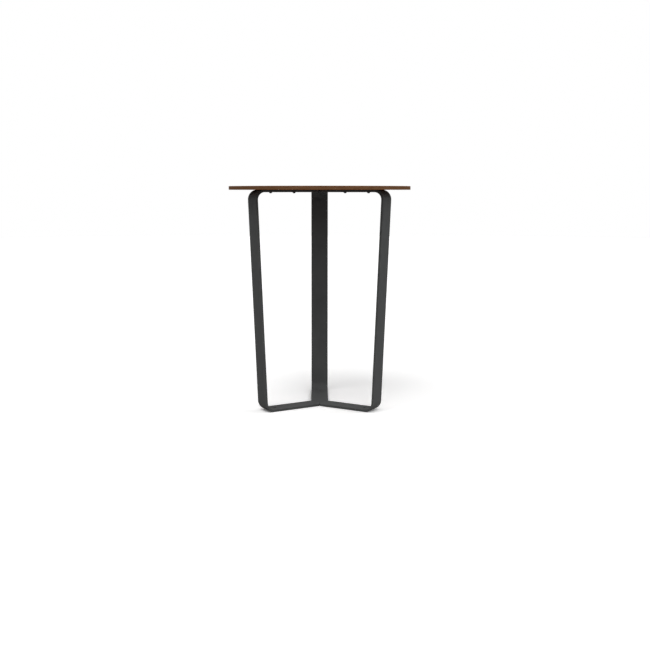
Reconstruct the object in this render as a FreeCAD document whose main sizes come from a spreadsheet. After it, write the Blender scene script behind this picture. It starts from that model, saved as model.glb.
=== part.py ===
import FreeCAD, Part
import enum
import math
import os

import Sketcher
from FreeCAD import Placement, Rotation, Vector

# Round dining table: a thin round top on three flat-bar legs bent into a C.
# The origin is on the floor under the centre of the top, +Z is up, and the back leg points to +Y.

# Driving sizes: name, value in millimetres, what it measures
SIZES = (
    ("table_height", "750", "floor to the upper face of the top"),
    ("top_diameter", "610", "across the round top"),
    ("top_thickness", "12", "solid laminate sheet of the top"),
    ("top_edge_round", "1", "eased rim of the top"),
    ("bar_width", "60", "flat bar of the legs"),
    ("bar_thickness", "8", "flat bar of the legs"),
    ("bar_edge_round", "1", "long edges of the flat bar"),
    ("top_overhang", "50", "rim of the top to the outer face of a leg, under the top"),
    ("leg_lean_in", "32.5", "how much nearer to the table axis a leg stands at the floor"),
    ("arm_bend_radius", "24", "inside of the bend between arm and leg"),
    ("foot_bend_radius", "26", "inside of the bend between leg and foot"),
    ("weld_depth", "2.5", "weld groove along the mitre where the bars meet"),
    ("weld_crown", "0.4", "height of the dressed weld over the bar"),
    ("weld_end_setback", "0.5", "tip of a notch to the end of the weld"),
    ("notch_width", "4", "open end of the notch between two bars, at their side faces"),
    ("notch_depth", "12", "corner between two bars to the tip of the notch"),
    ("anchor_setback", "47.5", "outer face of a leg, at the floor, to the anchor hole in its foot"),
    ("anchor_hole_diameter", "10", "floor anchor hole"),
    ("screw_outer_setback", "70", "outer face of a leg, under the top, to the outer screw"),
    ("screw_spacing", "87", "outer screw to inner screw of an arm"),
    ("screw_diameter", "5", "thread of the screws"),
    ("screw_hole_clearance", "0.8", "hole in the arm, wider than the thread"),
    ("screw_head_overhang", "2.25", "head beyond the thread, all round"),
    ("screw_head_height", "2.75", "domed button head"),
    ("screw_head_edge", "0.6", "upright edge of the head, under its dome"),
    ("screw_socket_width", "3", "hexagon socket across its flats"),
    ("screw_socket_depth", "1.7", "hexagon socket"),
    ("screw_tip_chamfer", "0.7", "chamfer at the end of the thread"),
    ("screw_tip_setback", "2", "end of the thread to the end of the insert"),
    ("washer_bore_clearance", "0.3", "bore of the washer, wider than the thread"),
    ("washer_ring_width", "2.35", "flat ring of the washer, from bore to rim"),
    ("washer_thickness", "1", "flat washer under the head"),
    ("insert_bore_clearance", "0.2", "bore of the insert, wider than the thread"),
    ("insert_wall", "1.4", "wall of the threaded insert"),
    ("insert_cover", "2.7", "laminate left over the blind hole of an insert"),
    ("insert_hole_relief", "0.3", "insert to the bottom of its hole"),
    ("insert_hole_clearance", "0.1", "hole in the top, wider than the insert"),
    ("insert_groove_depth", "0.4", "grooves round the insert that grip the laminate"),
    ("insert_groove_width", "1", "grooves round the insert"),
    ("cut_overrun", "2", "how far a cut runs past the face that it opens"),
)

# The legs stand at even steps round the table. Plan angles are in degrees, counted from +X.
LEG_NAMES = ("back", "front_left", "front_right")
BACK_LEG_ANGLE = 90
LEG_ANGLE_STEP = 360 / len(LEG_NAMES)
LEGS = {name: BACK_LEG_ANGLE + turn * LEG_ANGLE_STEP for turn, name in enumerate(LEG_NAMES)}
# Angle between the middle of a bar and its mitred faces
MITRE_ANGLE = LEG_ANGLE_STEP / 2
HEXAGON_SIDES = 6
INSERT_GROOVE_COUNT = 3

# Sizes that follow from the driving ones, where a reach or a station is counted from the table axis
ARM_REACH = "(sizes.top_diameter / 2 - sizes.top_overhang)"
FOOT_REACH = f"({ARM_REACH} - sizes.leg_lean_in)"
OUTER_STATION = f"({ARM_REACH} - sizes.screw_outer_setback)"
INNER_STATION = f"({OUTER_STATION} - sizes.screw_spacing)"
ANCHOR_STATION = f"({FOOT_REACH} - sizes.anchor_setback)"
ARM_TOP = "(sizes.table_height - sizes.top_thickness)"
ARM_UNDERSIDE = "(sizes.table_height - sizes.top_thickness - sizes.bar_thickness)"
BAR_CUT_DEPTH = "(sizes.bar_thickness + sizes.cut_overrun)"
MITRE_CUT_HALF_WIDTH = "(sizes.bar_width / 2 + sizes.cut_overrun)"
MITRE_CUT_REACH = f"({MITRE_CUT_HALF_WIDTH} / tan({MITRE_ANGLE} deg))"
NOTCH_TIP_UP = f"(sizes.bar_width / 2 - sizes.notch_depth * sin({MITRE_ANGLE} deg))"
NOTCH_TIP_ACROSS = f"({NOTCH_TIP_UP} / tan({MITRE_ANGLE} deg))"
NOTCH_END_ACROSS = (
    f"(sizes.bar_width / 2 / tan({MITRE_ANGLE} deg) + sizes.notch_width / 2 / sin({MITRE_ANGLE} deg))"
)
WELD_LENGTH = f"({NOTCH_TIP_UP} / sin({MITRE_ANGLE} deg) - sizes.weld_end_setback)"
WELD_CROWN_RADIUS = "((sizes.weld_depth ^ 2 + sizes.weld_crown ^ 2) / (2 * sizes.weld_crown))"
SCREW_HOLE_DIAMETER = "(sizes.screw_diameter + sizes.screw_hole_clearance)"
SCREW_RADIUS = "(sizes.screw_diameter / 2)"
SCREW_HEAD_RADIUS = f"({SCREW_RADIUS} + sizes.screw_head_overhang)"
SCREW_SOCKET_CORNER = f"(sizes.screw_socket_width / 2 / cos({180 / HEXAGON_SIDES} deg))"
WASHER_BORE_RADIUS = "((sizes.screw_diameter + sizes.washer_bore_clearance) / 2)"
WASHER_RIM_RADIUS = f"({WASHER_BORE_RADIUS} + sizes.washer_ring_width)"
INSERT_BORE_RADIUS = "((sizes.screw_diameter + sizes.insert_bore_clearance) / 2)"
INSERT_RADIUS = f"({INSERT_BORE_RADIUS} + sizes.insert_wall)"
INSERT_HOLE_DIAMETER = f"(2 * {INSERT_RADIUS} + sizes.insert_hole_clearance)"
INSERT_HOLE_DEPTH = "(sizes.top_thickness - sizes.insert_cover)"
INSERT_LENGTH = f"({INSERT_HOLE_DEPTH} - sizes.insert_hole_relief)"
INSERT_GROOVE_PITCH = f"({INSERT_LENGTH} / ({INSERT_GROOVE_COUNT} + 1))"
WASHER_SEAT = f"({ARM_UNDERSIDE} - sizes.washer_thickness)"
SCREW_LENGTH = (
    f"(sizes.washer_thickness + sizes.bar_thickness + {INSERT_LENGTH} - sizes.screw_tip_setback)"
)

# The two screws of each arm
STATIONS = {"inner": INNER_STATION, "outer": OUTER_STATION}


class Place(enum.IntEnum):
    """A sketch's numbers for the places on a line or an arc."""

    START = enum.auto()
    END = enum.auto()
    MIDDLE = enum.auto()


# A sketch's number for its horizontal axis, whose start is the origin
AXIS_INDEX = -1
ORIGIN = (AXIS_INDEX, Place.START)


def make_sheet(doc):
    """The spreadsheet that holds every driving size under its name."""
    sheet = doc.addObject("Spreadsheet::Sheet", "sizes")
    for row, (name, value, meaning) in enumerate(SIZES, start=1):
        sheet.set(f"A{row}", name)
        sheet.set(f"B{row}", value)
        sheet.set(f"C{row}", meaning)
        sheet.setAlias(f"B{row}", name)
    doc.recompute()


def number(doc, expression):
    """The present value of an expression in the sheet's sizes."""
    return float(doc.getObject("sizes").evalExpression(expression))


def make_body(doc, name):
    """A sub-part, named as a person would name it."""
    body = doc.addObject("PartDesign::Body", name)
    body.Label = name
    return body


def origin_feature(body, role):
    """One of the body's own origin planes or axes, such as XY_Plane."""
    return next(item for item in body.Origin.OriginFeatures if item.Role == role)


def make_sketch(body, name, plane, height=None):
    """A sketch on one of the body's origin planes, or at a height over it."""
    sketch = body.newObject("Sketcher::SketchObject", f"{body.Name}_{name}")
    sketch.AttachmentSupport = [(origin_feature(body, plane), "")]
    sketch.MapMode = "FlatFace"
    if height:
        sketch.setExpression("AttachmentOffset.Base.z", height)
    return sketch


def make_feature(body, kind, name):
    """A feature of the given kind at the end of the body."""
    return body.newObject(f"PartDesign::{kind}", f"{body.Name}_{name}")


def dimension(sketch, kind, places, expression):
    """A dimension that follows an expression in the sheet's sizes."""
    value = number(sketch.Document, expression)
    index = sketch.addConstraint(Sketcher.Constraint(kind, *places, value))
    name = f"{kind}_{index}"
    sketch.renameConstraint(index, name)
    sketch.setExpression(f"Constraints.{name}", expression)


def place_point(sketch, point, across=None, up=None):
    """Holds a point at expressions from the origin, where "0" is level with it or over it."""
    for expression, measure, align in (
        (across, "DistanceX", "Vertical"),
        (up, "DistanceY", "Horizontal"),
    ):
        if expression == "0":
            sketch.addConstraint(Sketcher.Constraint(align, *ORIGIN, *point))
        elif expression:
            dimension(sketch, measure, (*ORIGIN, *point), expression)


def draw_lines(sketch, corners, closed=True):
    """Straight lines through corners given as pairs of expressions, all of them dimensioned."""
    doc = sketch.Document
    points = [Vector(number(doc, across), number(doc, up)) for across, up in corners]
    lines = []
    for start, end in zip(points, points[1:]):
        lines.append(sketch.addGeometry(Part.LineSegment(start, end), False))
        if len(lines) > 1:
            join = (lines[-2], Place.END, lines[-1], Place.START)
            sketch.addConstraint(Sketcher.Constraint("Coincident", *join))
    if closed:
        last = sketch.addGeometry(Part.LineSegment(points[-1], points[0]), False)
        sketch.addConstraint(Sketcher.Constraint("Coincident", lines[-1], Place.END, last, Place.START))
        sketch.addConstraint(Sketcher.Constraint("Coincident", last, Place.END, lines[0], Place.START))
    for line, corner in zip(lines, corners):
        place_point(sketch, (line, Place.START), *corner)
    place_point(sketch, (lines[-1], Place.END), *corners[-1])
    return lines


def draw_circle(sketch, across, diameter):
    """A circle on the sketch's horizontal axis, at an expression from the origin."""
    doc = sketch.Document
    centre = Vector(number(doc, across), 0)
    radius = number(doc, diameter) / 2
    circle = sketch.addGeometry(Part.Circle(centre, Vector(0, 0, 1), radius), False)
    place_point(sketch, (circle, Place.MIDDLE), across, "0")
    dimension(sketch, "Diameter", (circle,), diameter)


def pad(body, name, sketch, length, symmetric=False):
    """A sketch made into a solid of the given length."""
    feature = make_feature(body, "Pad", name)
    feature.Profile = sketch
    feature.setExpression("Length", length)
    if symmetric:
        feature.SideType = "Symmetric"
    return feature


def pocket(body, name, sketch, depth=None, upwards=False):
    """A cut along the sketch, as deep as given or else through everything."""
    feature = make_feature(body, "Pocket", name)
    feature.Profile = sketch
    if depth:
        feature.setExpression("Length", depth)
    else:
        feature.Type = "ThroughAll"
    feature.Reversed = upwards
    return feature


def revolve(body, kind, name, sketch):
    """A sketch turned about its upright axis, which adds to the body or cuts it."""
    feature = make_feature(body, kind, name)
    feature.Profile = sketch
    feature.ReferenceAxis = (sketch, ["V_Axis"])
    feature.Angle = 360
    return feature


def repeat_round_axis(body, name, feature):
    """The feature once for each leg, about the table's axis."""
    pattern = make_feature(body, "PolarPattern", name)
    pattern.Originals = [feature]
    pattern.Axis = (origin_feature(body, "Z_Axis"), [""])
    pattern.Angle = 360
    pattern.Occurrences = len(LEGS)
    body.Tip = pattern


def edges_where(feature, wanted):
    """The names of the edges of a feature for which wanted(start, end) holds."""
    names = []
    for index, edge in enumerate(feature.Shape.Edges, start=1):
        ends = [vertex.Point for vertex in edge.Vertexes]
        if len(ends) == 2 and wanted(*ends):
            names.append(f"Edge{index}")
    return names


def put_on_arm(body, angle, station, height):
    """Places a fastener at a station along the arm at the given plan angle."""
    body.Placement = Placement(Vector(), Rotation(Vector(0, 0, 1), angle))
    body.setExpression("Placement.Base.x", f"{station} * cos({angle} deg)")
    body.setExpression("Placement.Base.y", f"{station} * sin({angle} deg)")
    body.setExpression("Placement.Base.z", height)


def draw_bent_bar(sketch):
    """Side view of a leg: arm along the top, leaning leg and foot on the floor, with round bends."""
    doc = sketch.Document
    arm_top = number(doc, ARM_TOP)
    thickness = number(doc, "sizes.bar_thickness")
    arm_reach = number(doc, ARM_REACH)
    foot_reach = number(doc, FOOT_REACH)
    arm_bend = number(doc, "sizes.arm_bend_radius")
    foot_bend = number(doc, "sizes.foot_bend_radius")
    lean = math.atan2(arm_reach - foot_reach, arm_top)
    outward = Vector(math.cos(lean), -math.sin(lean))
    up = Vector(0, 1)

    def bend_centre(radius, height):
        """Centre of a bend whose outer face touches the outer face of the leg."""
        return Vector(foot_reach + height * math.tan(lean) - radius / math.cos(lean), height)

    def arc(centre, radius, start, end):
        """An arc of the given bend, between two angles."""
        return Part.ArcOfCircle(Part.Circle(centre, Vector(0, 0, 1), radius), start, end)

    arm_outer = arm_bend + thickness
    foot_outer = foot_bend + thickness
    high = bend_centre(arm_outer, arm_top - arm_outer)
    low = bend_centre(foot_outer, foot_outer)
    level = math.pi / 2
    line = Part.LineSegment
    outline = [
        line(Vector(0, arm_top), high + up * arm_outer),
        arc(high, arm_outer, -lean, level),
        line(high + outward * arm_outer, low + outward * foot_outer),
        arc(low, foot_outer, -level, -lean),
        line(low - up * foot_outer, Vector(0, 0)),
        line(Vector(0, 0), Vector(0, thickness)),
        line(Vector(0, thickness), low - up * foot_bend),
        arc(low, foot_bend, -level, -lean),
        line(low + outward * foot_bend, high + outward * arm_bend),
        arc(high, arm_bend, -lean, level),
        line(high + up * arm_bend, Vector(0, arm_top - thickness)),
        line(Vector(0, arm_top - thickness), Vector(0, arm_top)),
    ]
    (
        arm_top_line,
        arm_outer_arc,
        leg_outer_line,
        foot_outer_arc,
        sole_line,
        foot_end_line,
        foot_top_line,
        foot_inner_arc,
        leg_inner_line,
        arm_inner_arc,
        arm_underside_line,
        arm_end_line,
    ) = sketch.addGeometry(outline, False)
    slope_line = sketch.addGeometry(line(Vector(foot_reach, 0), Vector(arm_reach, arm_top)), True)

    for smooth in (
        (arm_top_line, Place.END, arm_outer_arc, Place.END),
        (arm_outer_arc, Place.START, leg_outer_line, Place.START),
        (leg_outer_line, Place.END, foot_outer_arc, Place.END),
        (foot_outer_arc, Place.START, sole_line, Place.START),
        (foot_top_line, Place.END, foot_inner_arc, Place.START),
        (foot_inner_arc, Place.END, leg_inner_line, Place.START),
        (leg_inner_line, Place.END, arm_inner_arc, Place.START),
        (arm_inner_arc, Place.END, arm_underside_line, Place.START),
    ):
        sketch.addConstraint(Sketcher.Constraint("Tangent", *smooth))
    for corner in (
        (sole_line, Place.END, foot_end_line, Place.START),
        (foot_end_line, Place.END, foot_top_line, Place.START),
        (arm_underside_line, Place.END, arm_end_line, Place.START),
        (arm_end_line, Place.END, arm_top_line, Place.START),
        (arm_outer_arc, Place.MIDDLE, arm_inner_arc, Place.MIDDLE),
        (foot_outer_arc, Place.MIDDLE, foot_inner_arc, Place.MIDDLE),
        (sole_line, Place.END, *ORIGIN),
    ):
        sketch.addConstraint(Sketcher.Constraint("Coincident", *corner))
    for level_line in (arm_top_line, arm_underside_line, foot_top_line, sole_line):
        sketch.addConstraint(Sketcher.Constraint("Horizontal", level_line))
    for upright_line in (arm_end_line, foot_end_line):
        sketch.addConstraint(Sketcher.Constraint("Vertical", upright_line))
    for end in (Place.START, Place.END):
        on_slope = (leg_outer_line, end, slope_line)
        sketch.addConstraint(Sketcher.Constraint("PointOnObject", *on_slope))
    place_point(sketch, (arm_top_line, Place.START), "0", ARM_TOP)
    place_point(sketch, (slope_line, Place.START), FOOT_REACH, "0")
    place_point(sketch, (slope_line, Place.END), ARM_REACH, ARM_TOP)
    for end_line in (foot_end_line, arm_end_line):
        places = (end_line, Place.START, end_line, Place.END)
        dimension(sketch, "DistanceY", places, "sizes.bar_thickness")
    dimension(sketch, "Radius", (arm_inner_arc,), "sizes.arm_bend_radius")
    dimension(sketch, "Radius", (foot_inner_arc,), "sizes.foot_bend_radius")


def build_leg(doc, name, angle):
    """A leg: one flat bar bent into a C, mitred at both ends, drilled for screws and an anchor."""
    body = make_body(doc, name)
    profile = make_sketch(body, "profile", "XZ_Plane")
    draw_bent_bar(profile)
    pad(body, "bar", profile, "sizes.bar_width", symmetric=True)

    # Both ends are cut to a point, so that three bars meet at the table's axis.
    mitre = make_sketch(body, "mitre", "XY_Plane")
    mitre_corners = (
        ("0", "0"),
        (MITRE_CUT_REACH, MITRE_CUT_HALF_WIDTH),
        ("-sizes.cut_overrun", MITRE_CUT_HALF_WIDTH),
        ("-sizes.cut_overrun", f"-{MITRE_CUT_HALF_WIDTH}"),
        (MITRE_CUT_REACH, f"-{MITRE_CUT_HALF_WIDTH}"),
    )
    draw_lines(mitre, mitre_corners)
    mitre_cut = pocket(body, "mitre_cut", mitre, upwards=True)
    doc.recompute()

    # The weld grooves run along the mitres, over the foot and under the arm.
    half_thickness = number(doc, "sizes.bar_thickness / 2")
    arm_middle = number(doc, ARM_TOP) - half_thickness
    half_width = number(doc, "sizes.bar_width / 2")
    mitre_reach = half_width / math.tan(math.radians(MITRE_ANGLE))

    def along_mitre(start, end):
        """Level, from the table's axis, and on the inner side of the foot or the arm."""
        level = abs(start.z - end.z) < half_thickness
        from_axis = min(start.x, end.x) < mitre_reach / 2
        return level and from_axis and half_thickness < start.z < arm_middle

    grooves = make_feature(body, "Chamfer", "weld_grooves")
    grooves.Base = (mitre_cut, edges_where(mitre_cut, along_mitre))
    grooves.setExpression("Size", "sizes.weld_depth")
    doc.recompute()

    def along_bar(start, end):
        """On one side face of the bar, and reaching past its mitred corner."""
        beside = start.y * end.y > 0 and min(abs(start.y), abs(end.y)) > half_width / 2
        return beside and max(start.x, end.x) > mitre_reach * 2

    rounding = make_feature(body, "Fillet", "long_edges")
    rounding.Base = (grooves, edges_where(grooves, along_bar))
    rounding.setExpression("Radius", "sizes.bar_edge_round")

    # The mitred faces are cut back at their outer ends, which leaves a narrow notch between two bars.
    notches = make_sketch(body, "notches", "XY_Plane")
    for side in ("", "-"):
        notch_corners = (
            (NOTCH_TIP_ACROSS, f"{side}{NOTCH_TIP_UP}"),
            (NOTCH_END_ACROSS, f"{side}(sizes.bar_width / 2)"),
            (NOTCH_END_ACROSS, f"{side}{MITRE_CUT_HALF_WIDTH}"),
            (NOTCH_TIP_ACROSS, f"{side}{MITRE_CUT_HALF_WIDTH}"),
        )
        draw_lines(notches, notch_corners)
    pocket(body, "notch_cut", notches, upwards=True)

    screw_holes = make_sketch(body, "screw_holes", "XY_Plane", height=ARM_TOP)
    for station in STATIONS.values():
        draw_circle(screw_holes, station, SCREW_HOLE_DIAMETER)
    pocket(body, "screw_hole_cut", screw_holes, depth=BAR_CUT_DEPTH)

    anchor_hole = make_sketch(body, "anchor_hole", "XY_Plane")
    draw_circle(anchor_hole, ANCHOR_STATION, "sizes.anchor_hole_diameter")
    pocket(body, "anchor_hole_cut", anchor_hole, depth=BAR_CUT_DEPTH, upwards=True)

    body.Placement = Placement(Vector(), Rotation(Vector(0, 0, 1), angle))
    return body


def build_weld(doc, name, height, turn):
    """A three-armed weld that fills the grooves along the mitres, with a low crown."""
    body = make_body(doc, name)
    section = make_sketch(body, "section", "YZ_Plane")
    sides = draw_lines(
        section,
        (
            ("-sizes.weld_depth", "0"),
            ("0", "-sizes.weld_depth"),
            ("sizes.weld_depth", "0"),
        ),
        closed=False,
    )
    half_width = number(doc, "sizes.weld_depth")
    radius = number(doc, WELD_CROWN_RADIUS)
    centre = Vector(0, number(doc, "sizes.weld_crown") - radius)
    spread = math.asin(half_width / radius)
    upright = math.pi / 2
    circle = Part.Circle(centre, Vector(0, 0, 1), radius)
    crown = section.addGeometry(Part.ArcOfCircle(circle, upright - spread, upright + spread), False)
    for join in ((sides[-1], Place.END, crown, Place.START), (crown, Place.END, sides[0], Place.START)):
        section.addConstraint(Sketcher.Constraint("Coincident", *join))
    dimension(section, "Radius", (crown,), WELD_CROWN_RADIUS)
    seam = pad(body, "seam", section, WELD_LENGTH)
    repeat_round_axis(body, "seams", seam)
    first_seam = Rotation(Vector(0, 0, 1), BACK_LEG_ANGLE - MITRE_ANGLE)
    body.Placement = Placement(Vector(), turn.multiply(first_seam))
    body.setExpression("Placement.Base.z", height)
    return body


def build_top(doc):
    """The round top, with blind holes for the inserts in its underside."""
    body = make_body(doc, "tabletop")
    disc = make_sketch(body, "disc", "XY_Plane")
    draw_circle(disc, "0", "sizes.top_diameter")
    sheet = pad(body, "sheet", disc, "sizes.top_thickness")
    doc.recompute()
    rims = [
        f"Edge{index}"
        for index, edge in enumerate(sheet.Shape.Edges, start=1)
        if isinstance(edge.Curve, Part.Circle)
    ]
    rounding = make_feature(body, "Fillet", "rims")
    rounding.Base = (sheet, rims)
    rounding.setExpression("Radius", "sizes.top_edge_round")

    holes = make_sketch(body, "insert_holes", "XY_Plane")
    for station in STATIONS.values():
        draw_circle(holes, station, INSERT_HOLE_DIAMETER)
    pair = pocket(body, "insert_hole_pair", holes, depth=INSERT_HOLE_DEPTH, upwards=True)
    repeat_round_axis(body, "insert_hole_pairs", pair)
    body.Placement = Placement(Vector(), Rotation(Vector(0, 0, 1), BACK_LEG_ANGLE))
    body.setExpression("Placement.Base.z", ARM_TOP)
    return body


def build_screw(doc, name, angle, station):
    """A button-head screw with a hexagon socket, driven upwards into the top."""
    body = make_body(doc, name)
    profile = make_sketch(body, "profile", "XZ_Plane")
    tip_radius = f"({SCREW_RADIUS} - sizes.screw_tip_chamfer)"
    tip_shoulder = f"({SCREW_LENGTH} - sizes.screw_tip_chamfer)"
    lines = draw_lines(
        profile,
        (
            (SCREW_HEAD_RADIUS, "-sizes.screw_head_edge"),
            (SCREW_HEAD_RADIUS, "0"),
            (SCREW_RADIUS, "0"),
            (SCREW_RADIUS, tip_shoulder),
            (tip_radius, SCREW_LENGTH),
            ("0", SCREW_LENGTH),
            ("0", "-sizes.screw_head_height"),
        ),
        closed=False,
    )
    head_radius = number(doc, SCREW_HEAD_RADIUS)
    head_height = number(doc, "sizes.screw_head_height")
    dome_height = head_height - number(doc, "sizes.screw_head_edge")
    dome_radius = (head_radius**2 + dome_height**2) / (2 * dome_height)
    centre = Vector(0, dome_radius - head_height)
    spread = math.atan2(head_radius, dome_radius - dome_height)
    downright = -math.pi / 2
    circle = Part.Circle(centre, Vector(0, 0, 1), dome_radius)
    dome = profile.addGeometry(Part.ArcOfCircle(circle, downright, downright + spread), False)
    for join in ((lines[-1], Place.END, dome, Place.START), (dome, Place.END, lines[0], Place.START)):
        profile.addConstraint(Sketcher.Constraint("Coincident", *join))
    place_point(profile, (dome, Place.MIDDLE), across="0")
    revolve(body, "Revolution", "turned", profile)

    socket = make_sketch(body, "socket", "XY_Plane", height="-sizes.screw_head_height")
    corners = []
    for side in range(HEXAGON_SIDES):
        turn = 360 * side / HEXAGON_SIDES + 180 / HEXAGON_SIDES
        across = f"({SCREW_SOCKET_CORNER} * cos({turn} deg))"
        up = f"({SCREW_SOCKET_CORNER} * sin({turn} deg))"
        corners.append((across, up))
    draw_lines(socket, corners)
    pocket(body, "socket_cut", socket, depth="sizes.screw_socket_depth", upwards=True)
    put_on_arm(body, angle, station, WASHER_SEAT)
    return body


def build_washer(doc, name, angle, station):
    """A flat washer between a screw head and the arm."""
    body = make_body(doc, name)
    ring = make_sketch(body, "ring", "XY_Plane")
    for radius in (WASHER_RIM_RADIUS, WASHER_BORE_RADIUS):
        draw_circle(ring, "0", f"(2 * {radius})")
    pad(body, "plate", ring, "sizes.washer_thickness")
    put_on_arm(body, angle, station, WASHER_SEAT)
    return body


def build_insert(doc, name, angle, station):
    """A threaded insert, glued into its blind hole flush with the underside of the top."""
    body = make_body(doc, name)
    profile = make_sketch(body, "profile", "XZ_Plane")
    draw_lines(
        profile,
        (
            (INSERT_BORE_RADIUS, "0"),
            (INSERT_RADIUS, "0"),
            (INSERT_RADIUS, INSERT_LENGTH),
            (INSERT_BORE_RADIUS, INSERT_LENGTH),
        ),
    )
    revolve(body, "Revolution", "sleeve", profile)

    ring = make_sketch(body, "groove_section", "XZ_Plane")
    groove_floor = f"({INSERT_RADIUS} - sizes.insert_groove_depth)"
    groove_mouth = f"({INSERT_RADIUS} + sizes.cut_overrun)"
    groove_low = f"({INSERT_GROOVE_PITCH} - sizes.insert_groove_width / 2)"
    groove_high = f"({INSERT_GROOVE_PITCH} + sizes.insert_groove_width / 2)"
    draw_lines(
        ring,
        (
            (groove_floor, groove_low),
            (groove_mouth, groove_low),
            (groove_mouth, groove_high),
            (groove_floor, groove_high),
        ),
    )
    groove = revolve(body, "Groove", "groove", ring)
    pattern = make_feature(body, "LinearPattern", "grooves")
    pattern.Originals = [groove]
    pattern.Direction = (origin_feature(body, "Z_Axis"), [""])
    pattern.setExpression("Length", f"{INSERT_GROOVE_PITCH} * ({INSERT_GROOVE_COUNT} - 1)")
    pattern.Occurrences = INSERT_GROOVE_COUNT
    body.Tip = pattern
    put_on_arm(body, angle, station, ARM_TOP)
    return body


def build_table(doc):
    """Every sub-part of the table, in its place."""
    make_sheet(doc)
    flat = Rotation()
    upside_down = Rotation(Vector(0, 1, 0), 180)
    bodies = [
        build_top(doc),
        build_weld(doc, "foot_joint_weld", "sizes.bar_thickness", flat),
        build_weld(doc, "arm_joint_weld", ARM_UNDERSIDE, upside_down),
    ]
    for leg, angle in LEGS.items():
        bodies.append(build_leg(doc, f"leg_{leg}", angle))
        for row, station in STATIONS.items():
            bodies.append(build_screw(doc, f"screw_{leg}_{row}", angle, station))
            bodies.append(build_washer(doc, f"washer_{leg}_{row}", angle, station))
            bodies.append(build_insert(doc, f"insert_{leg}_{row}", angle, station))
    doc.recompute()
    return bodies


def check_table(doc, bodies):
    """Stops if any object failed, or if a sub-part isn't one sound solid."""
    for item in doc.Objects:
        if {"Invalid", "Error"} & set(item.State):
            raise RuntimeError(f"{item.Label} failed: {item.State}")
    for body in bodies:
        shape = body.Shape
        if shape.isNull() or not shape.isValid() or len(shape.Solids) != 1:
            raise RuntimeError(f"{body.Label} isn't one sound solid")


def export_table(bodies):
    """One STEP file for each sub-part, named as its node."""
    os.makedirs("parts", exist_ok=True)
    for body in bodies:
        body.Shape.exportStep(f"parts/{body.Label}.step")


table = FreeCAD.newDocument("round_dining_table")
sub_parts = build_table(table)
check_table(table, sub_parts)
export_table(sub_parts)
for sub_part in sub_parts:
    solid = sub_part.Shape
    print(f"{sub_part.Label}: {solid.Volume:.1f} mm3, {solid.optimalBoundingBox(False, False)}")
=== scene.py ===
"""Round dining table: its finishes, its weld beads, a plain white studio and the camera."""

import math
import random

import bmesh
import bpy
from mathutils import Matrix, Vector


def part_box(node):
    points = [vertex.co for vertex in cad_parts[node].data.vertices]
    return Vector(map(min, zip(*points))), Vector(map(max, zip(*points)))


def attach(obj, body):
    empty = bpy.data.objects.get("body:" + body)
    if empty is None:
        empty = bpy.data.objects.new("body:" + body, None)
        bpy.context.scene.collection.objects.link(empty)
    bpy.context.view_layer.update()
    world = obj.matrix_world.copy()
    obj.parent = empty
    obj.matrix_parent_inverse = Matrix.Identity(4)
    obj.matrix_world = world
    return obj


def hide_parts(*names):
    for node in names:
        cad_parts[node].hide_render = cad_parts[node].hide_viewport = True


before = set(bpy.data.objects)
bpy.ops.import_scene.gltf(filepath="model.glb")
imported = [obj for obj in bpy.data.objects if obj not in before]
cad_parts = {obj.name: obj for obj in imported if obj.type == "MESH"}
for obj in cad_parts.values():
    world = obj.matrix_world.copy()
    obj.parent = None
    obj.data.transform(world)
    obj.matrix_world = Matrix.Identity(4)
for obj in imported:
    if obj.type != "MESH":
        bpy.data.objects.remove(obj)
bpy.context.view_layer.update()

# Lengths are in metres, and MM turns the small ones, which are written in millimetres. Colours are
# written as they show on a screen, from 0 to 255, and a ramp is a row of (value, colour).
MM = 0.001

# Places and sizes of the object, read from the frame. One seam of the weld points to -Y.
TOP_LOW, TOP_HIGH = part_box("tabletop")
BAR_HALF_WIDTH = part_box("leg_back")[1].x
ARM_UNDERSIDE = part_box("washer_back_inner")[1].z
BAR_THICKNESS = TOP_LOW.z - ARM_UNDERSIDE
FOOT_WELD_LOW, FOOT_WELD_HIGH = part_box("foot_joint_weld")
WELD_LENGTH = -FOOT_WELD_LOW.y
WELD_DEPTH = BAR_THICKNESS - FOOT_WELD_LOW.z
WELD_CROWN = FOOT_WELD_HIGH.z - BAR_THICKNESS

# Plan angles of the legs, in degrees from +X, and of the weld seams, which lie halfway between
# them, and half the angle from one seam to the next
LEG_ANGLES = {"leg_back": 90, "leg_front_left": 210, "leg_front_right": 330}
SEAM_ANGLES = (30, 150, 270)
SEAM_HALF_ANGLE = math.radians(60)

# A weld seam: its crescents, the depth of their ripple as a share of the crown, how unevenly they
# lie and how far they bow, the length over which the crown falls at the end, the rounded nose and
# the rows and columns of its mesh
WELD_CRESCENTS = 9
WELD_RIPPLE = 0.4
WELD_WOBBLE = 0.08
WELD_BOW = 1.4 * MM
WELD_TAPER = 3 * MM
WELD_NOSE = 1 * MM
WELD_NOSE_DROP = 1 * MM
WELD_ROWS = 72
WELD_COLUMNS = 16
WELD_SEED = 7
WELD_SHARP_ANGLE = math.radians(50)
MERGE_DISTANCE = 0.001 * MM

# Where most values of a noise lie, between its low and its high end
NOISE_MIDDLE = (0.3, 0.7)

# Grain sizes of the wood's pattern along X, Y and Z. The grain runs along X.
WANDER_GRAIN = (0.35, 0.09, 1)
RING_NOISE_GRAIN = (0.25, 30 * MM, 1)
BAND_GRAIN = (0.45, 30 * MM, 1)
STREAK_GRAIN = (0.16, 3.4 * MM, 1)
FIBRE_GRAIN = (38 * MM, 0.7 * MM, 1)
PORE_GRAIN = (9 * MM, 0.33 * MM, 1)
SHEEN_GRAIN = (0.12, 0.09, 0.1)

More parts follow.
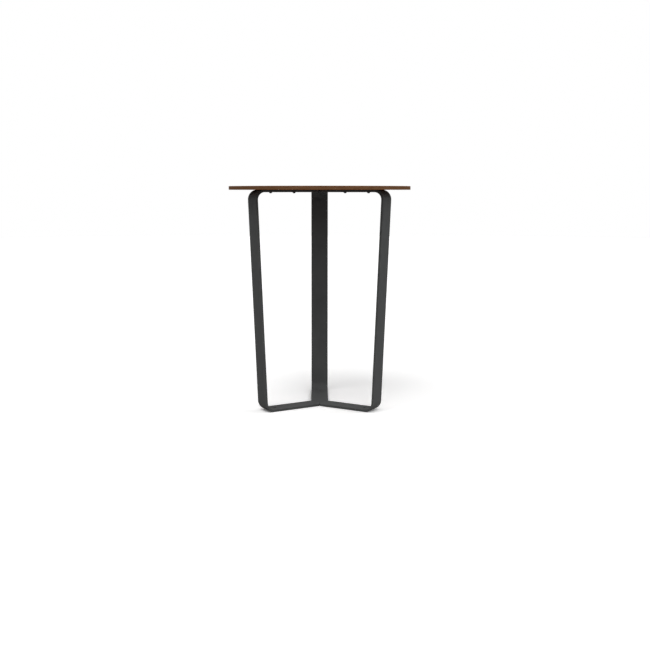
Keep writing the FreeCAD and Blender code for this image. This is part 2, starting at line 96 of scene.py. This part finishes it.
# How far the boards wander, and the growth rings: the middle of their arches, their depth under
# the face and how it grows along X, their spacing, their unevenness and how soon each darkens
WANDER_REACH = 26 * MM
RING_MIDDLE = 55 * MM
RING_DEPTH = 62 * MM
RING_SLOPE = 0.11
RING_SPACING = 9 * MM
RING_UNEVENNESS = 1.6
RING_DARKENING = 0.85

# The share of each pattern in the tone of the wood, and the darkness of the pores
BAND_SHARE = 0.42
STREAK_SHARE = 0.34
FIBRE_SHARE = 0.2
RING_SHARE = -0.1
PORE_STEP = (0.66, 0.74)
PORE_DARKNESS = 0.4
PORE_COLOUR = (84, 46, 26)
WOOD_RAMP = (
    (0.26, (113, 58, 24)),
    (0.40, (146, 81, 37)),
    (0.52, (166, 97, 46)),
    (0.66, (188, 117, 63)),
)

# The core of the laminate: its thin layers, its mottling and the film of woodgrain over it
LAYER_GRAIN = (90 * MM, 90 * MM, 0.3 * MM)
MOTTLE_GRAIN = (28 * MM, 28 * MM, 6 * MM)
LAYER_SHARE = 0.6
MOTTLE_SHARE = 0.4
CORE_RAMP = ((0.3, (93, 63, 41)), (0.5, (110, 78, 53)), (0.7, (125, 93, 66)))
FILM_THICKNESS = 0.35 * MM
FILM_FADE = 0.1 * MM

# The sheen of the laminate. A roughness is a range, or what a pattern adds to it.
SHEEN_STEP = (0.25, 0.75)
LAMINATE_ROUGHNESS = (0.66, 0.76)
FIBRE_ROUGHNESS = 0.05
CORE_ROUGHNESS = 0.12
LAMINATE_SPECULAR = 0.03

# The fine relief of the laminate: its depth and strength, the grain of its matt texture, and the
# share of each pattern in the height of its faces and of its core
LAMINATE_RELIEF = (0.06 * MM, 0.6)
MATT_GRAIN = 0.5 * MM
FACE_FIBRE_HEIGHT = 0.5
FACE_PORE_HEIGHT = -0.8
FACE_MATT_HEIGHT = 0.35
CORE_LAYER_HEIGHT = 0.5
CORE_MATT_HEIGHT = 0.5

# The powder coat: its soft clouds, its grit and its orange peel
COAT_CLOUD_GRAIN = 70 * MM
COAT_GRIT_GRAIN = 0.55 * MM
COAT_PEEL_GRAIN = 2.6 * MM
COAT_CLOUD_SHARE = 0.55
COAT_GRIT_SHARE = 0.45
COAT_RAMP = ((0.30, (69, 70, 70)), (0.50, (77, 78, 78)), (0.72, (84, 85, 85)))
COAT_ROUGHNESS = (0.58, 0.66)
COAT_SPECULAR = 0.035
COAT_RELIEF = (0.07 * MM, 0.8)
COAT_GRIT_HEIGHT = 0.5
COAT_PEEL_HEIGHT = 0.5

# The rubbed edges of a bar: where the rub starts and ends, counted in from the bar's side, and
# the patches in which it shows
RUB_START = (0.9 * MM, 0.5 * MM)
RUB_END = (0.15 * MM, 0.02 * MM)
RUB_PATCH_GRAIN = (24 * MM, 24 * MM, 34 * MM)
RUB_PATCH_STEP = (0.46, 0.62)
RUB_STRENGTH = 0.5
RUB_ROUGHNESS = -0.12
RUB_COLOUR = (111, 112, 112)

# Blackened steel
STEEL_CLOUD_GRAIN = 4 * MM
STEEL_FINE_GRAIN = 0.25 * MM
STEEL_RAMP = ((0.3, (16, 16, 17)), (0.7, (27, 27, 28)))
STEEL_ROUGHNESS = (0.7, 0.84)
STEEL_SPECULAR = 0.03
STEEL_RELIEF = (0.02 * MM, 0.6)

# Turned brass
BRASS_CLOUD_GRAIN = 5 * MM
BRASS_MARK_GRAIN = (12 * MM, 12 * MM, 0.12 * MM)
BRASS_RAMP = ((0.3, (168, 132, 74)), (0.7, (205, 170, 104)))
BRASS_ROUGHNESS = (0.25, 0.42)
BRASS_RELIEF = (0.02 * MM, 0.7)

# The photograph's camera: its frame, focal length and optical axis in pixels, its place in
# metres and its downward pitch in radians
IMAGE_SIZE = 650
FOCAL_LENGTH_PIXELS = 914.9
OPTICAL_AXIS_PIXEL = (319.6, 319.6)
CAMERA_PLACE = (0, -3.1154, 0.7341)
CAMERA_PITCH = 0.1397
SENSOR_WIDTH_MM = 36

# Light levels, where 1 renders a white surface white
DOME_LEVEL = 0.37
FLOOR_BOUNCE = 0.27
FLOOR_COLOUR = 1.3
HORIZON_FADE = 0.02

# The floor, a round sheet just under the feet
FLOOR_RADIUS = 12
FLOOR_GAP = 0.1 * MM
FLOOR_SEGMENTS = 128

# The soft lamps: name, level, angle to the right of the camera's side and elevation, in degrees
LAMPS = (
    ("side_lamp", 0.23, 95, 30),
    ("right_lamp", 0.17, 30, 30),
    ("front_lamp", 0.40, -25, 60),
    ("low_lamp", 0.16, 0, 4),
)
LAMP_SOFTNESS = math.radians(45)


def linear(colour):
    """A screen colour made linear for a shader, by the sRGB curve, and opaque."""
    parts = [((v / 255 + 0.055) / 1.055) ** 2.4 if v > 10 else v / 255 / 12.92 for v in colour]
    return (*parts, 1)


def grey(level):
    """A neutral colour of the given level."""
    return (level, level, level, 1)


class Graph:
    """The nodes of one material or world, with a short call for each kind that is used here."""

    def __init__(self, tree):
        self.tree = tree

    def add(self, kind, inputs=(), **settings):
        """A node whose inputs are linked, or set where a plain value is given."""
        node = self.tree.nodes.new(kind)
        for name, value in settings.items():
            setattr(node, name, value)
        for key, value in dict(inputs).items():
            self.feed(node.inputs[key], value)
        return node

    def feed(self, socket, value):
        """Links or sets one input."""
        if isinstance(value, bpy.types.NodeSocket):
            self.tree.links.new(value, socket)
        else:
            socket.default_value = value

    def position(self):
        """The place on the object, in metres, which is the same in every view."""
        return self.add("ShaderNodeTexCoord").outputs["Object"]

    def turned(self, vector, angle):
        """A place seen from a frame that is turned about +Z, by an angle in degrees."""
        turn = (0, 0, math.radians(-angle))
        return self.add("ShaderNodeMapping", {"Vector": vector, "Rotation": turn}).outputs[0]

    def grained(self, vector, sizes):
        """A place measured in grains of one size, or that are long, wide and high as given."""
        if isinstance(sizes, float):
            sizes = (sizes, sizes, sizes)
        scale = tuple(1 / size for size in sizes)
        return self.add("ShaderNodeMapping", {"Vector": vector, "Scale": scale}).outputs[0]

    def parts(self, vector):
        """The X, Y and Z of a place."""
        return self.add("ShaderNodeSeparateXYZ", {0: vector}).outputs

    def joined(self, x, y, z):
        """A place made of three numbers."""
        return self.add("ShaderNodeCombineXYZ", {0: x, 1: y, 2: z}).outputs[0]

    def noise(self, vector, sizes, detail=2, roughness=0.5):
        """Soft noise from 0 to 1, with grains of the given sizes."""
        inputs = {
            "Vector": self.grained(vector, sizes),
            "Scale": 1,
            "Detail": detail,
            "Roughness": roughness,
        }
        return self.add("ShaderNodeTexNoise", inputs).outputs["Fac"]

    def calculate(self, operation, a, b=0):
        """One operation on one or two numbers."""
        return self.add("ShaderNodeMath", {0: a, 1: b}, operation=operation).outputs[0]

    def sum(self, a, b):
        """Two numbers added."""
        return self.calculate("ADD", a, b)

    def times(self, a, b):
        """Two numbers multiplied."""
        return self.calculate("MULTIPLY", a, b)

    def rise(self, value, low, high, to_low=0, to_high=1):
        """A smooth step from to_low to to_high as the value goes from low to high."""
        inputs = {"Value": value, 1: low, 2: high, 3: to_low, 4: to_high}
        node = self.add("ShaderNodeMapRange", inputs, interpolation_type="SMOOTHSTEP")
        return node.outputs[0]

    def ramp(self, value, stops):
        """A colour for each value, blended between stops of (value, screen colour)."""
        node = self.add("ShaderNodeValToRGB", {"Fac": value})
        elements = node.color_ramp.elements
        while len(elements) < len(stops):
            elements.new(0)
        for element, (place, colour) in zip(elements, stops):
            element.position = place
            element.color = linear(colour)
        return node.outputs["Color"]

    def blend(self, factor, a, b):
        """Colour a where the factor is 0, and b where it is 1."""
        node = self.add("ShaderNodeMix", data_type="RGBA")
        for socket, value in zip((node.inputs[0], node.inputs[6], node.inputs[7]), (factor, a, b)):
            self.feed(socket, value)
        return node.outputs[2]

    def choose(self, factor, a, b):
        """Number a where the factor is 0, and b where it is 1."""
        node = self.add("ShaderNodeMix", {0: factor, 2: a, 3: b}, data_type="FLOAT")
        return node.outputs[0]

    def bump(self, height, depth, strength):
        """A normal from a height that goes from 0 to 1 over the given depth."""
        inputs = {"Height": height, "Distance": depth, "Strength": strength}
        return self.add("ShaderNodeBump", inputs).outputs[0]


def make_material(name):
    """A new material with its graph and its surface shader."""
    material = bpy.data.materials.new(name)
    material.use_nodes = True
    shader = material.node_tree.nodes["Principled BSDF"]
    return material, Graph(material.node_tree), shader


def growth_rings(g, place, x, y):
    """0 to 1 over each growth ring. The rings are cut as long flat arches."""
    across = g.calculate("SUBTRACT", y, RING_MIDDLE)
    depth = g.sum(g.times(x, RING_SLOPE), RING_DEPTH)
    distance = g.calculate("SQRT", g.sum(g.times(across, across), g.times(depth, depth)))
    noise = g.noise(place, RING_NOISE_GRAIN, detail=3, roughness=0.35)
    rings = g.sum(g.times(distance, 1 / RING_SPACING), g.times(noise, RING_UNEVENNESS))
    return g.rise(g.calculate("FRACT", rings), 0, RING_DARKENING)


def woodgrain_laminate():
    """Woodgrain faces with their grain along X, over a brown core that shows round the rim."""
    material, g, shader = make_material("woodgrain_laminate")
    place = g.position()
    x, y, z = g.parts(place)

    # The boards wander a little.
    wander = g.noise(place, WANDER_GRAIN)
    y_bent = g.sum(y, g.times(g.calculate("SUBTRACT", wander, 0.5), WANDER_REACH))
    bent = g.joined(x, y_bent, z)
    rings = growth_rings(g, place, x, y_bent)
    bands = g.noise(bent, BAND_GRAIN, detail=3, roughness=0.55)
    streaks = g.noise(bent, STREAK_GRAIN, detail=4, roughness=0.6)
    fibres = g.noise(bent, FIBRE_GRAIN, detail=3, roughness=0.65)
    pores = g.rise(g.noise(bent, PORE_GRAIN, detail=1), *PORE_STEP)
    tone = g.times(bands, BAND_SHARE)
    tone = g.sum(tone, g.times(streaks, STREAK_SHARE))
    tone = g.sum(tone, g.times(fibres, FIBRE_SHARE))
    tone = g.sum(tone, g.times(rings, RING_SHARE))
    face = g.blend(g.times(pores, PORE_DARKNESS), g.ramp(tone, WOOD_RAMP), linear(PORE_COLOUR))

    layers = g.noise(place, LAYER_GRAIN, detail=3, roughness=0.7)
    mottle = g.noise(place, MOTTLE_GRAIN, detail=3)
    core_tone = g.sum(g.times(layers, LAYER_SHARE), g.times(mottle, MOTTLE_SHARE))
    core = g.ramp(core_tone, CORE_RAMP)

    film_low = TOP_LOW.z + FILM_THICKNESS
    film_high = TOP_HIGH.z - FILM_THICKNESS
    above = g.rise(z, film_low, film_low + FILM_FADE)
    below = g.rise(z, film_high - FILM_FADE, film_high, 1, 0)
    in_core = g.times(above, below)
    g.feed(shader.inputs["Base Color"], g.blend(in_core, face, core))

    sheen = g.noise(place, SHEEN_GRAIN, detail=4)
    rough = g.rise(sheen, *SHEEN_STEP, *LAMINATE_ROUGHNESS)
    rough = g.sum(rough, g.times(fibres, FIBRE_ROUGHNESS))
    rough = g.sum(rough, g.times(in_core, CORE_ROUGHNESS))
    g.feed(shader.inputs["Roughness"], rough)
    shader.inputs["Specular IOR Level"].default_value = LAMINATE_SPECULAR

    matt = g.noise(place, MATT_GRAIN)
    grain = g.sum(g.times(fibres, FACE_FIBRE_HEIGHT), g.times(pores, FACE_PORE_HEIGHT))
    face_relief = g.sum(grain, g.times(matt, FACE_MATT_HEIGHT))
    core_relief = g.sum(g.times(layers, CORE_LAYER_HEIGHT), g.times(matt, CORE_MATT_HEIGHT))
    relief = g.choose(in_core, face_relief, core_relief)
    g.feed(shader.inputs["Normal"], g.bump(relief, *LAMINATE_RELIEF))
    return material


def rubbed_edge(g, place, bar_angle):
    """1 along the rubbed edges of a bar that lies at the given plan angle, and 0 elsewhere."""
    aside = g.calculate("ABSOLUTE", g.parts(g.turned(place, bar_angle))[1])
    start = g.rise(aside, *(BAR_HALF_WIDTH - inset for inset in RUB_START))
    end = g.rise(aside, *(BAR_HALF_WIDTH - inset for inset in RUB_END), 1, 0)
    patches = g.noise(place, RUB_PATCH_GRAIN, detail=5, roughness=0.65)
    return g.times(g.times(start, end), g.rise(patches, *RUB_PATCH_STEP))


def charcoal_coat(name, bar_angle=None):
    """Fine-textured charcoal powder coat, with rubbed edges where a bar's plan angle is given."""
    material, g, shader = make_material(name)
    place = g.position()
    cloud = g.noise(place, COAT_CLOUD_GRAIN, detail=4, roughness=0.6)
    grit = g.noise(place, COAT_GRIT_GRAIN, roughness=0.6)
    peel = g.noise(place, COAT_PEEL_GRAIN)
    tone = g.sum(g.times(cloud, COAT_CLOUD_SHARE), g.times(grit, COAT_GRIT_SHARE))
    coat = g.ramp(tone, COAT_RAMP)
    rough = g.rise(cloud, *NOISE_MIDDLE, *COAT_ROUGHNESS)
    if bar_angle is not None:
        rub = rubbed_edge(g, place, bar_angle)
        coat = g.blend(g.times(rub, RUB_STRENGTH), coat, linear(RUB_COLOUR))
        rough = g.sum(rough, g.times(rub, RUB_ROUGHNESS))
    g.feed(shader.inputs["Base Color"], coat)
    g.feed(shader.inputs["Roughness"], rough)
    shader.inputs["Specular IOR Level"].default_value = COAT_SPECULAR
    relief = g.sum(g.times(grit, COAT_GRIT_HEIGHT), g.times(peel, COAT_PEEL_HEIGHT))
    g.feed(shader.inputs["Normal"], g.bump(relief, *COAT_RELIEF))
    return material


def black_steel():
    """Blackened steel of the screws and washers, with a trace of handling."""
    material, g, shader = make_material("black_steel")
    place = g.position()
    cloud = g.noise(place, STEEL_CLOUD_GRAIN, detail=4, roughness=0.6)
    fine = g.noise(place, STEEL_FINE_GRAIN)
    g.feed(shader.inputs["Base Color"], g.ramp(cloud, STEEL_RAMP))
    g.feed(shader.inputs["Roughness"], g.rise(cloud, *NOISE_MIDDLE, *STEEL_ROUGHNESS))
    g.feed(shader.inputs["Normal"], g.bump(fine, *STEEL_RELIEF))
    shader.inputs["Specular IOR Level"].default_value = STEEL_SPECULAR
    return material


def turned_brass():
    """Turned brass of the threaded inserts, with fine marks of the tool round them."""
    material, g, shader = make_material("turned_brass")
    place = g.position()
    cloud = g.noise(place, BRASS_CLOUD_GRAIN, detail=3)
    marks = g.noise(place, BRASS_MARK_GRAIN)
    g.feed(shader.inputs["Base Color"], g.ramp(cloud, BRASS_RAMP))
    g.feed(shader.inputs["Roughness"], g.rise(marks, *NOISE_MIDDLE, *BRASS_ROUGHNESS))
    g.feed(shader.inputs["Normal"], g.bump(marks, *BRASS_RELIEF))
    shader.inputs["Metallic"].default_value = 1
    return material


def finish_node(name, material):
    """Gives a CAD node its material."""
    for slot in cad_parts[name].material_slots:
        slot.material = material


def weld_crown(share, along, wobble):
    """Height of the bead over the plate, at a share of its half width and a place along it."""
    pitch = WELD_LENGTH / len(wobble)
    phase = (along + WELD_BOW * share * share) / pitch
    step = phase + wobble[int(phase) % len(wobble)]
    ripple = abs(math.sin(math.pi * step))
    fade = min(1, along / WELD_TAPER)
    crown = WELD_CROWN * (1 - share * share) * (1 - WELD_RIPPLE * (1 - ripple) * fade)
    return crown * math.sqrt(min(1, max(0, WELD_LENGTH - along) / WELD_TAPER))


def add_weld_seam(mesh, seam_angle, height, upward, wobble):
    """One closed seam, from the table's axis to its rounded nose."""
    angle = math.radians(seam_angle)
    direction = Vector((math.cos(angle), math.sin(angle), 0))
    sideways = Vector((-direction.y, direction.x, 0))
    over, under = [], []
    for row in range(WELD_ROWS + 1):
        over.append([])
        under.append([])
        for column in range(WELD_COLUMNS + 1):
            share = column / WELD_COLUMNS * 2 - 1
            start = abs(share) * WELD_DEPTH / math.tan(SEAM_HALF_ANGLE)
            along = start + (WELD_LENGTH - start) * row / WELD_ROWS
            nose = max(0, 1 - (WELD_LENGTH - along) / WELD_NOSE)
            drop = WELD_NOSE_DROP * (1 - math.sqrt(1 - nose * nose))
            side = share * (WELD_DEPTH - drop)
            place = direction * along + sideways * side
            place.z = height + upward * (weld_crown(share, along, wobble) - drop)
            over[-1].append(mesh.verts.new(place))
            place.z = height - upward * (WELD_DEPTH - abs(side))
            under[-1].append(mesh.verts.new(place))
    for rows in (over, under, (over[-1], under[-1])):
        for low, high in zip(rows, rows[1:]):
            for corner in range(WELD_COLUMNS):
                mesh.faces.new((low[corner], high[corner], high[corner + 1], low[corner + 1]))


def build_weld_bead(name, node, height, upward, material):
    """A bead of three seams that meet at the table's axis, in the grooves between the bars."""
    rng = random.Random(WELD_SEED)
    wobble = [rng.uniform(-WELD_WOBBLE, WELD_WOBBLE) for _ in range(WELD_CRESCENTS)]
    mesh = bmesh.new()
    for seam_angle in SEAM_ANGLES:
        add_weld_seam(mesh, seam_angle, height, upward, wobble)
    bmesh.ops.remove_doubles(mesh, verts=mesh.verts, dist=MERGE_DISTANCE)
    bmesh.ops.recalc_face_normals(mesh, faces=mesh.faces)
    data = bpy.data.meshes.new(name)
    mesh.to_mesh(data)
    mesh.free()
    data.shade_smooth()
    data.set_sharp_from_angle(angle=WELD_SHARP_ANGLE)
    data.materials.append(material)
    bead = bpy.data.objects.new(name, data)
    bpy.context.scene.collection.objects.link(bead)
    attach(bead, "root")
    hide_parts(node)


def seen_directly(g):
    """1 for what the camera, a reflection or glass shows, and 0 for the light on a surface."""
    path = g.add("ShaderNodeLightPath").outputs
    shown = g.calculate("MAXIMUM", path["Is Camera Ray"], path["Is Glossy Ray"])
    return g.calculate("MAXIMUM", shown, path["Is Transmission Ray"])


def build_floor():
    """A white floor that keeps a soft shadow, and that isn't in the way of a view from below."""
    mesh = bmesh.new()
    bmesh.ops.create_circle(mesh, cap_ends=True, segments=FLOOR_SEGMENTS, radius=FLOOR_RADIUS)
    data = bpy.data.meshes.new("floor")
    mesh.to_mesh(data)
    mesh.free()
    floor = bpy.data.objects.new("floor", data)
    floor.location.z = -FLOOR_GAP
    bpy.context.scene.collection.objects.link(floor)

    material = bpy.data.materials.new("floor")
    material.use_nodes = True
    material.node_tree.nodes.clear()
    g = Graph(material.node_tree)
    dim = g.add("ShaderNodeBsdfDiffuse", {"Color": grey(FLOOR_BOUNCE)})
    pale = g.add("ShaderNodeBsdfDiffuse", {"Color": grey(FLOOR_COLOUR)})
    inputs = {0: seen_directly(g), 1: dim.outputs[0], 2: pale.outputs[0]}
    shown = g.add("ShaderNodeMixShader", inputs)
    clear = g.add("ShaderNodeBsdfTransparent")
    beneath = g.add("ShaderNodeNewGeometry").outputs["Backfacing"]
    inputs = {0: beneath, 1: shown.outputs[0], 2: clear.outputs[0]}
    both = g.add("ShaderNodeMixShader", inputs)
    g.add("ShaderNodeOutputMaterial", {"Surface": both.outputs[0]})
    data.materials.append(material)


def build_world():
    """A white surround whose upper half lights the object."""
    world = bpy.data.worlds.new("studio")
    world.use_nodes = True
    world.node_tree.nodes.clear()
    g = Graph(world.node_tree)
    height = g.parts(g.add("ShaderNodeTexCoord").outputs["Generated"])[2]
    dome = g.rise(height, -HORIZON_FADE, HORIZON_FADE, 0, DOME_LEVEL)
    light = g.add("ShaderNodeBackground", {"Color": grey(1), "Strength": dome})
    white = g.add("ShaderNodeBackground", {"Color": grey(1), "Strength": 1})
    inputs = {0: seen_directly(g), 1: light.outputs[0], 2: white.outputs[0]}
    mix = g.add("ShaderNodeMixShader", inputs)
    g.add("ShaderNodeOutputWorld", {"Surface": mix.outputs[0]})
    bpy.context.scene.world = world


def build_lamp(name, level, angle_to_right, elevation):
    """A large soft lamp, far away."""
    lamp = bpy.data.lights.new(name, "SUN")
    lamp.energy = level * math.pi
    lamp.angle = LAMP_SOFTNESS
    holder = bpy.data.objects.new(name, lamp)
    bpy.context.scene.collection.objects.link(holder)
    turn = math.radians(angle_to_right)
    rise = math.radians(elevation)
    level_side = Vector((math.sin(turn), -math.cos(turn), 0))
    towards = level_side * math.cos(rise) + Vector((0, 0, math.sin(rise)))
    holder.rotation_euler = towards.to_track_quat("Z", "Y").to_euler()


def build_camera():
    """The photograph's camera."""
    camera = bpy.data.cameras.new("camera")
    camera.sensor_width = SENSOR_WIDTH_MM
    camera.lens = SENSOR_WIDTH_MM * FOCAL_LENGTH_PIXELS / IMAGE_SIZE
    camera.shift_x = 0.5 - OPTICAL_AXIS_PIXEL[0] / IMAGE_SIZE
    camera.shift_y = OPTICAL_AXIS_PIXEL[1] / IMAGE_SIZE - 0.5
    viewer = bpy.data.objects.new("camera", camera)
    bpy.context.scene.collection.objects.link(viewer)
    viewer.location = CAMERA_PLACE
    viewer.rotation_euler = (math.pi / 2 - CAMERA_PITCH, 0, 0)
    bpy.context.scene.camera = viewer


def dress_object():
    """Gives every CAD node its finish and replaces the welds by modelled beads."""
    finish_node("tabletop", woodgrain_laminate())
    for leg, angle in LEG_ANGLES.items():
        finish_node(leg, charcoal_coat(f"charcoal_coat_{leg}", angle))
    steel = black_steel()
    brass = turned_brass()
    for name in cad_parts:
        if name.startswith(("screw", "washer")):
            finish_node(name, steel)
        elif name.startswith("insert"):
            finish_node(name, brass)
    coat = charcoal_coat("charcoal_coat_weld")
    build_weld_bead("foot_weld_bead", "foot_joint_weld", BAR_THICKNESS, 1, coat)
    build_weld_bead("arm_weld_bead", "arm_joint_weld", ARM_UNDERSIDE, -1, coat)


dress_object()
build_floor()
build_world()
for lamp in LAMPS:
    build_lamp(*lamp)
build_camera()
bpy.context.scene.view_settings.view_transform = "Standard"
